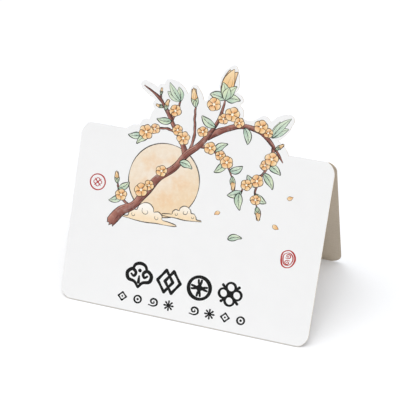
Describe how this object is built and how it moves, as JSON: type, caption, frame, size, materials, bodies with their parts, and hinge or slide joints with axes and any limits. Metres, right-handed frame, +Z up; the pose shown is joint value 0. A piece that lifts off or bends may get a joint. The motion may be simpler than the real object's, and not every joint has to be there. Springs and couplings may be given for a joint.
{
  "type": "greeting card",
  "caption": "Sheet of white board folded once to stand as a tent, with rounded corners, a die-cut crest of leaf and twig shapes above the fold, and the matching opening in the rear panel.",
  "frame": {"origin": "middle of the footprint, at the height of the foot edges", "axes": "+X along the width and the fold, +Y from the printed front panel to the rear panel, +Z up"},
  "size_m": [0.15, 0.0902, 0.1355],
  "materials": {
    "board": "matt white outside, natural brown inside and at the cut edges"
  },
  "bodies": {
    "root": {"folded_card": "board"}
  },
  "joints": []
}
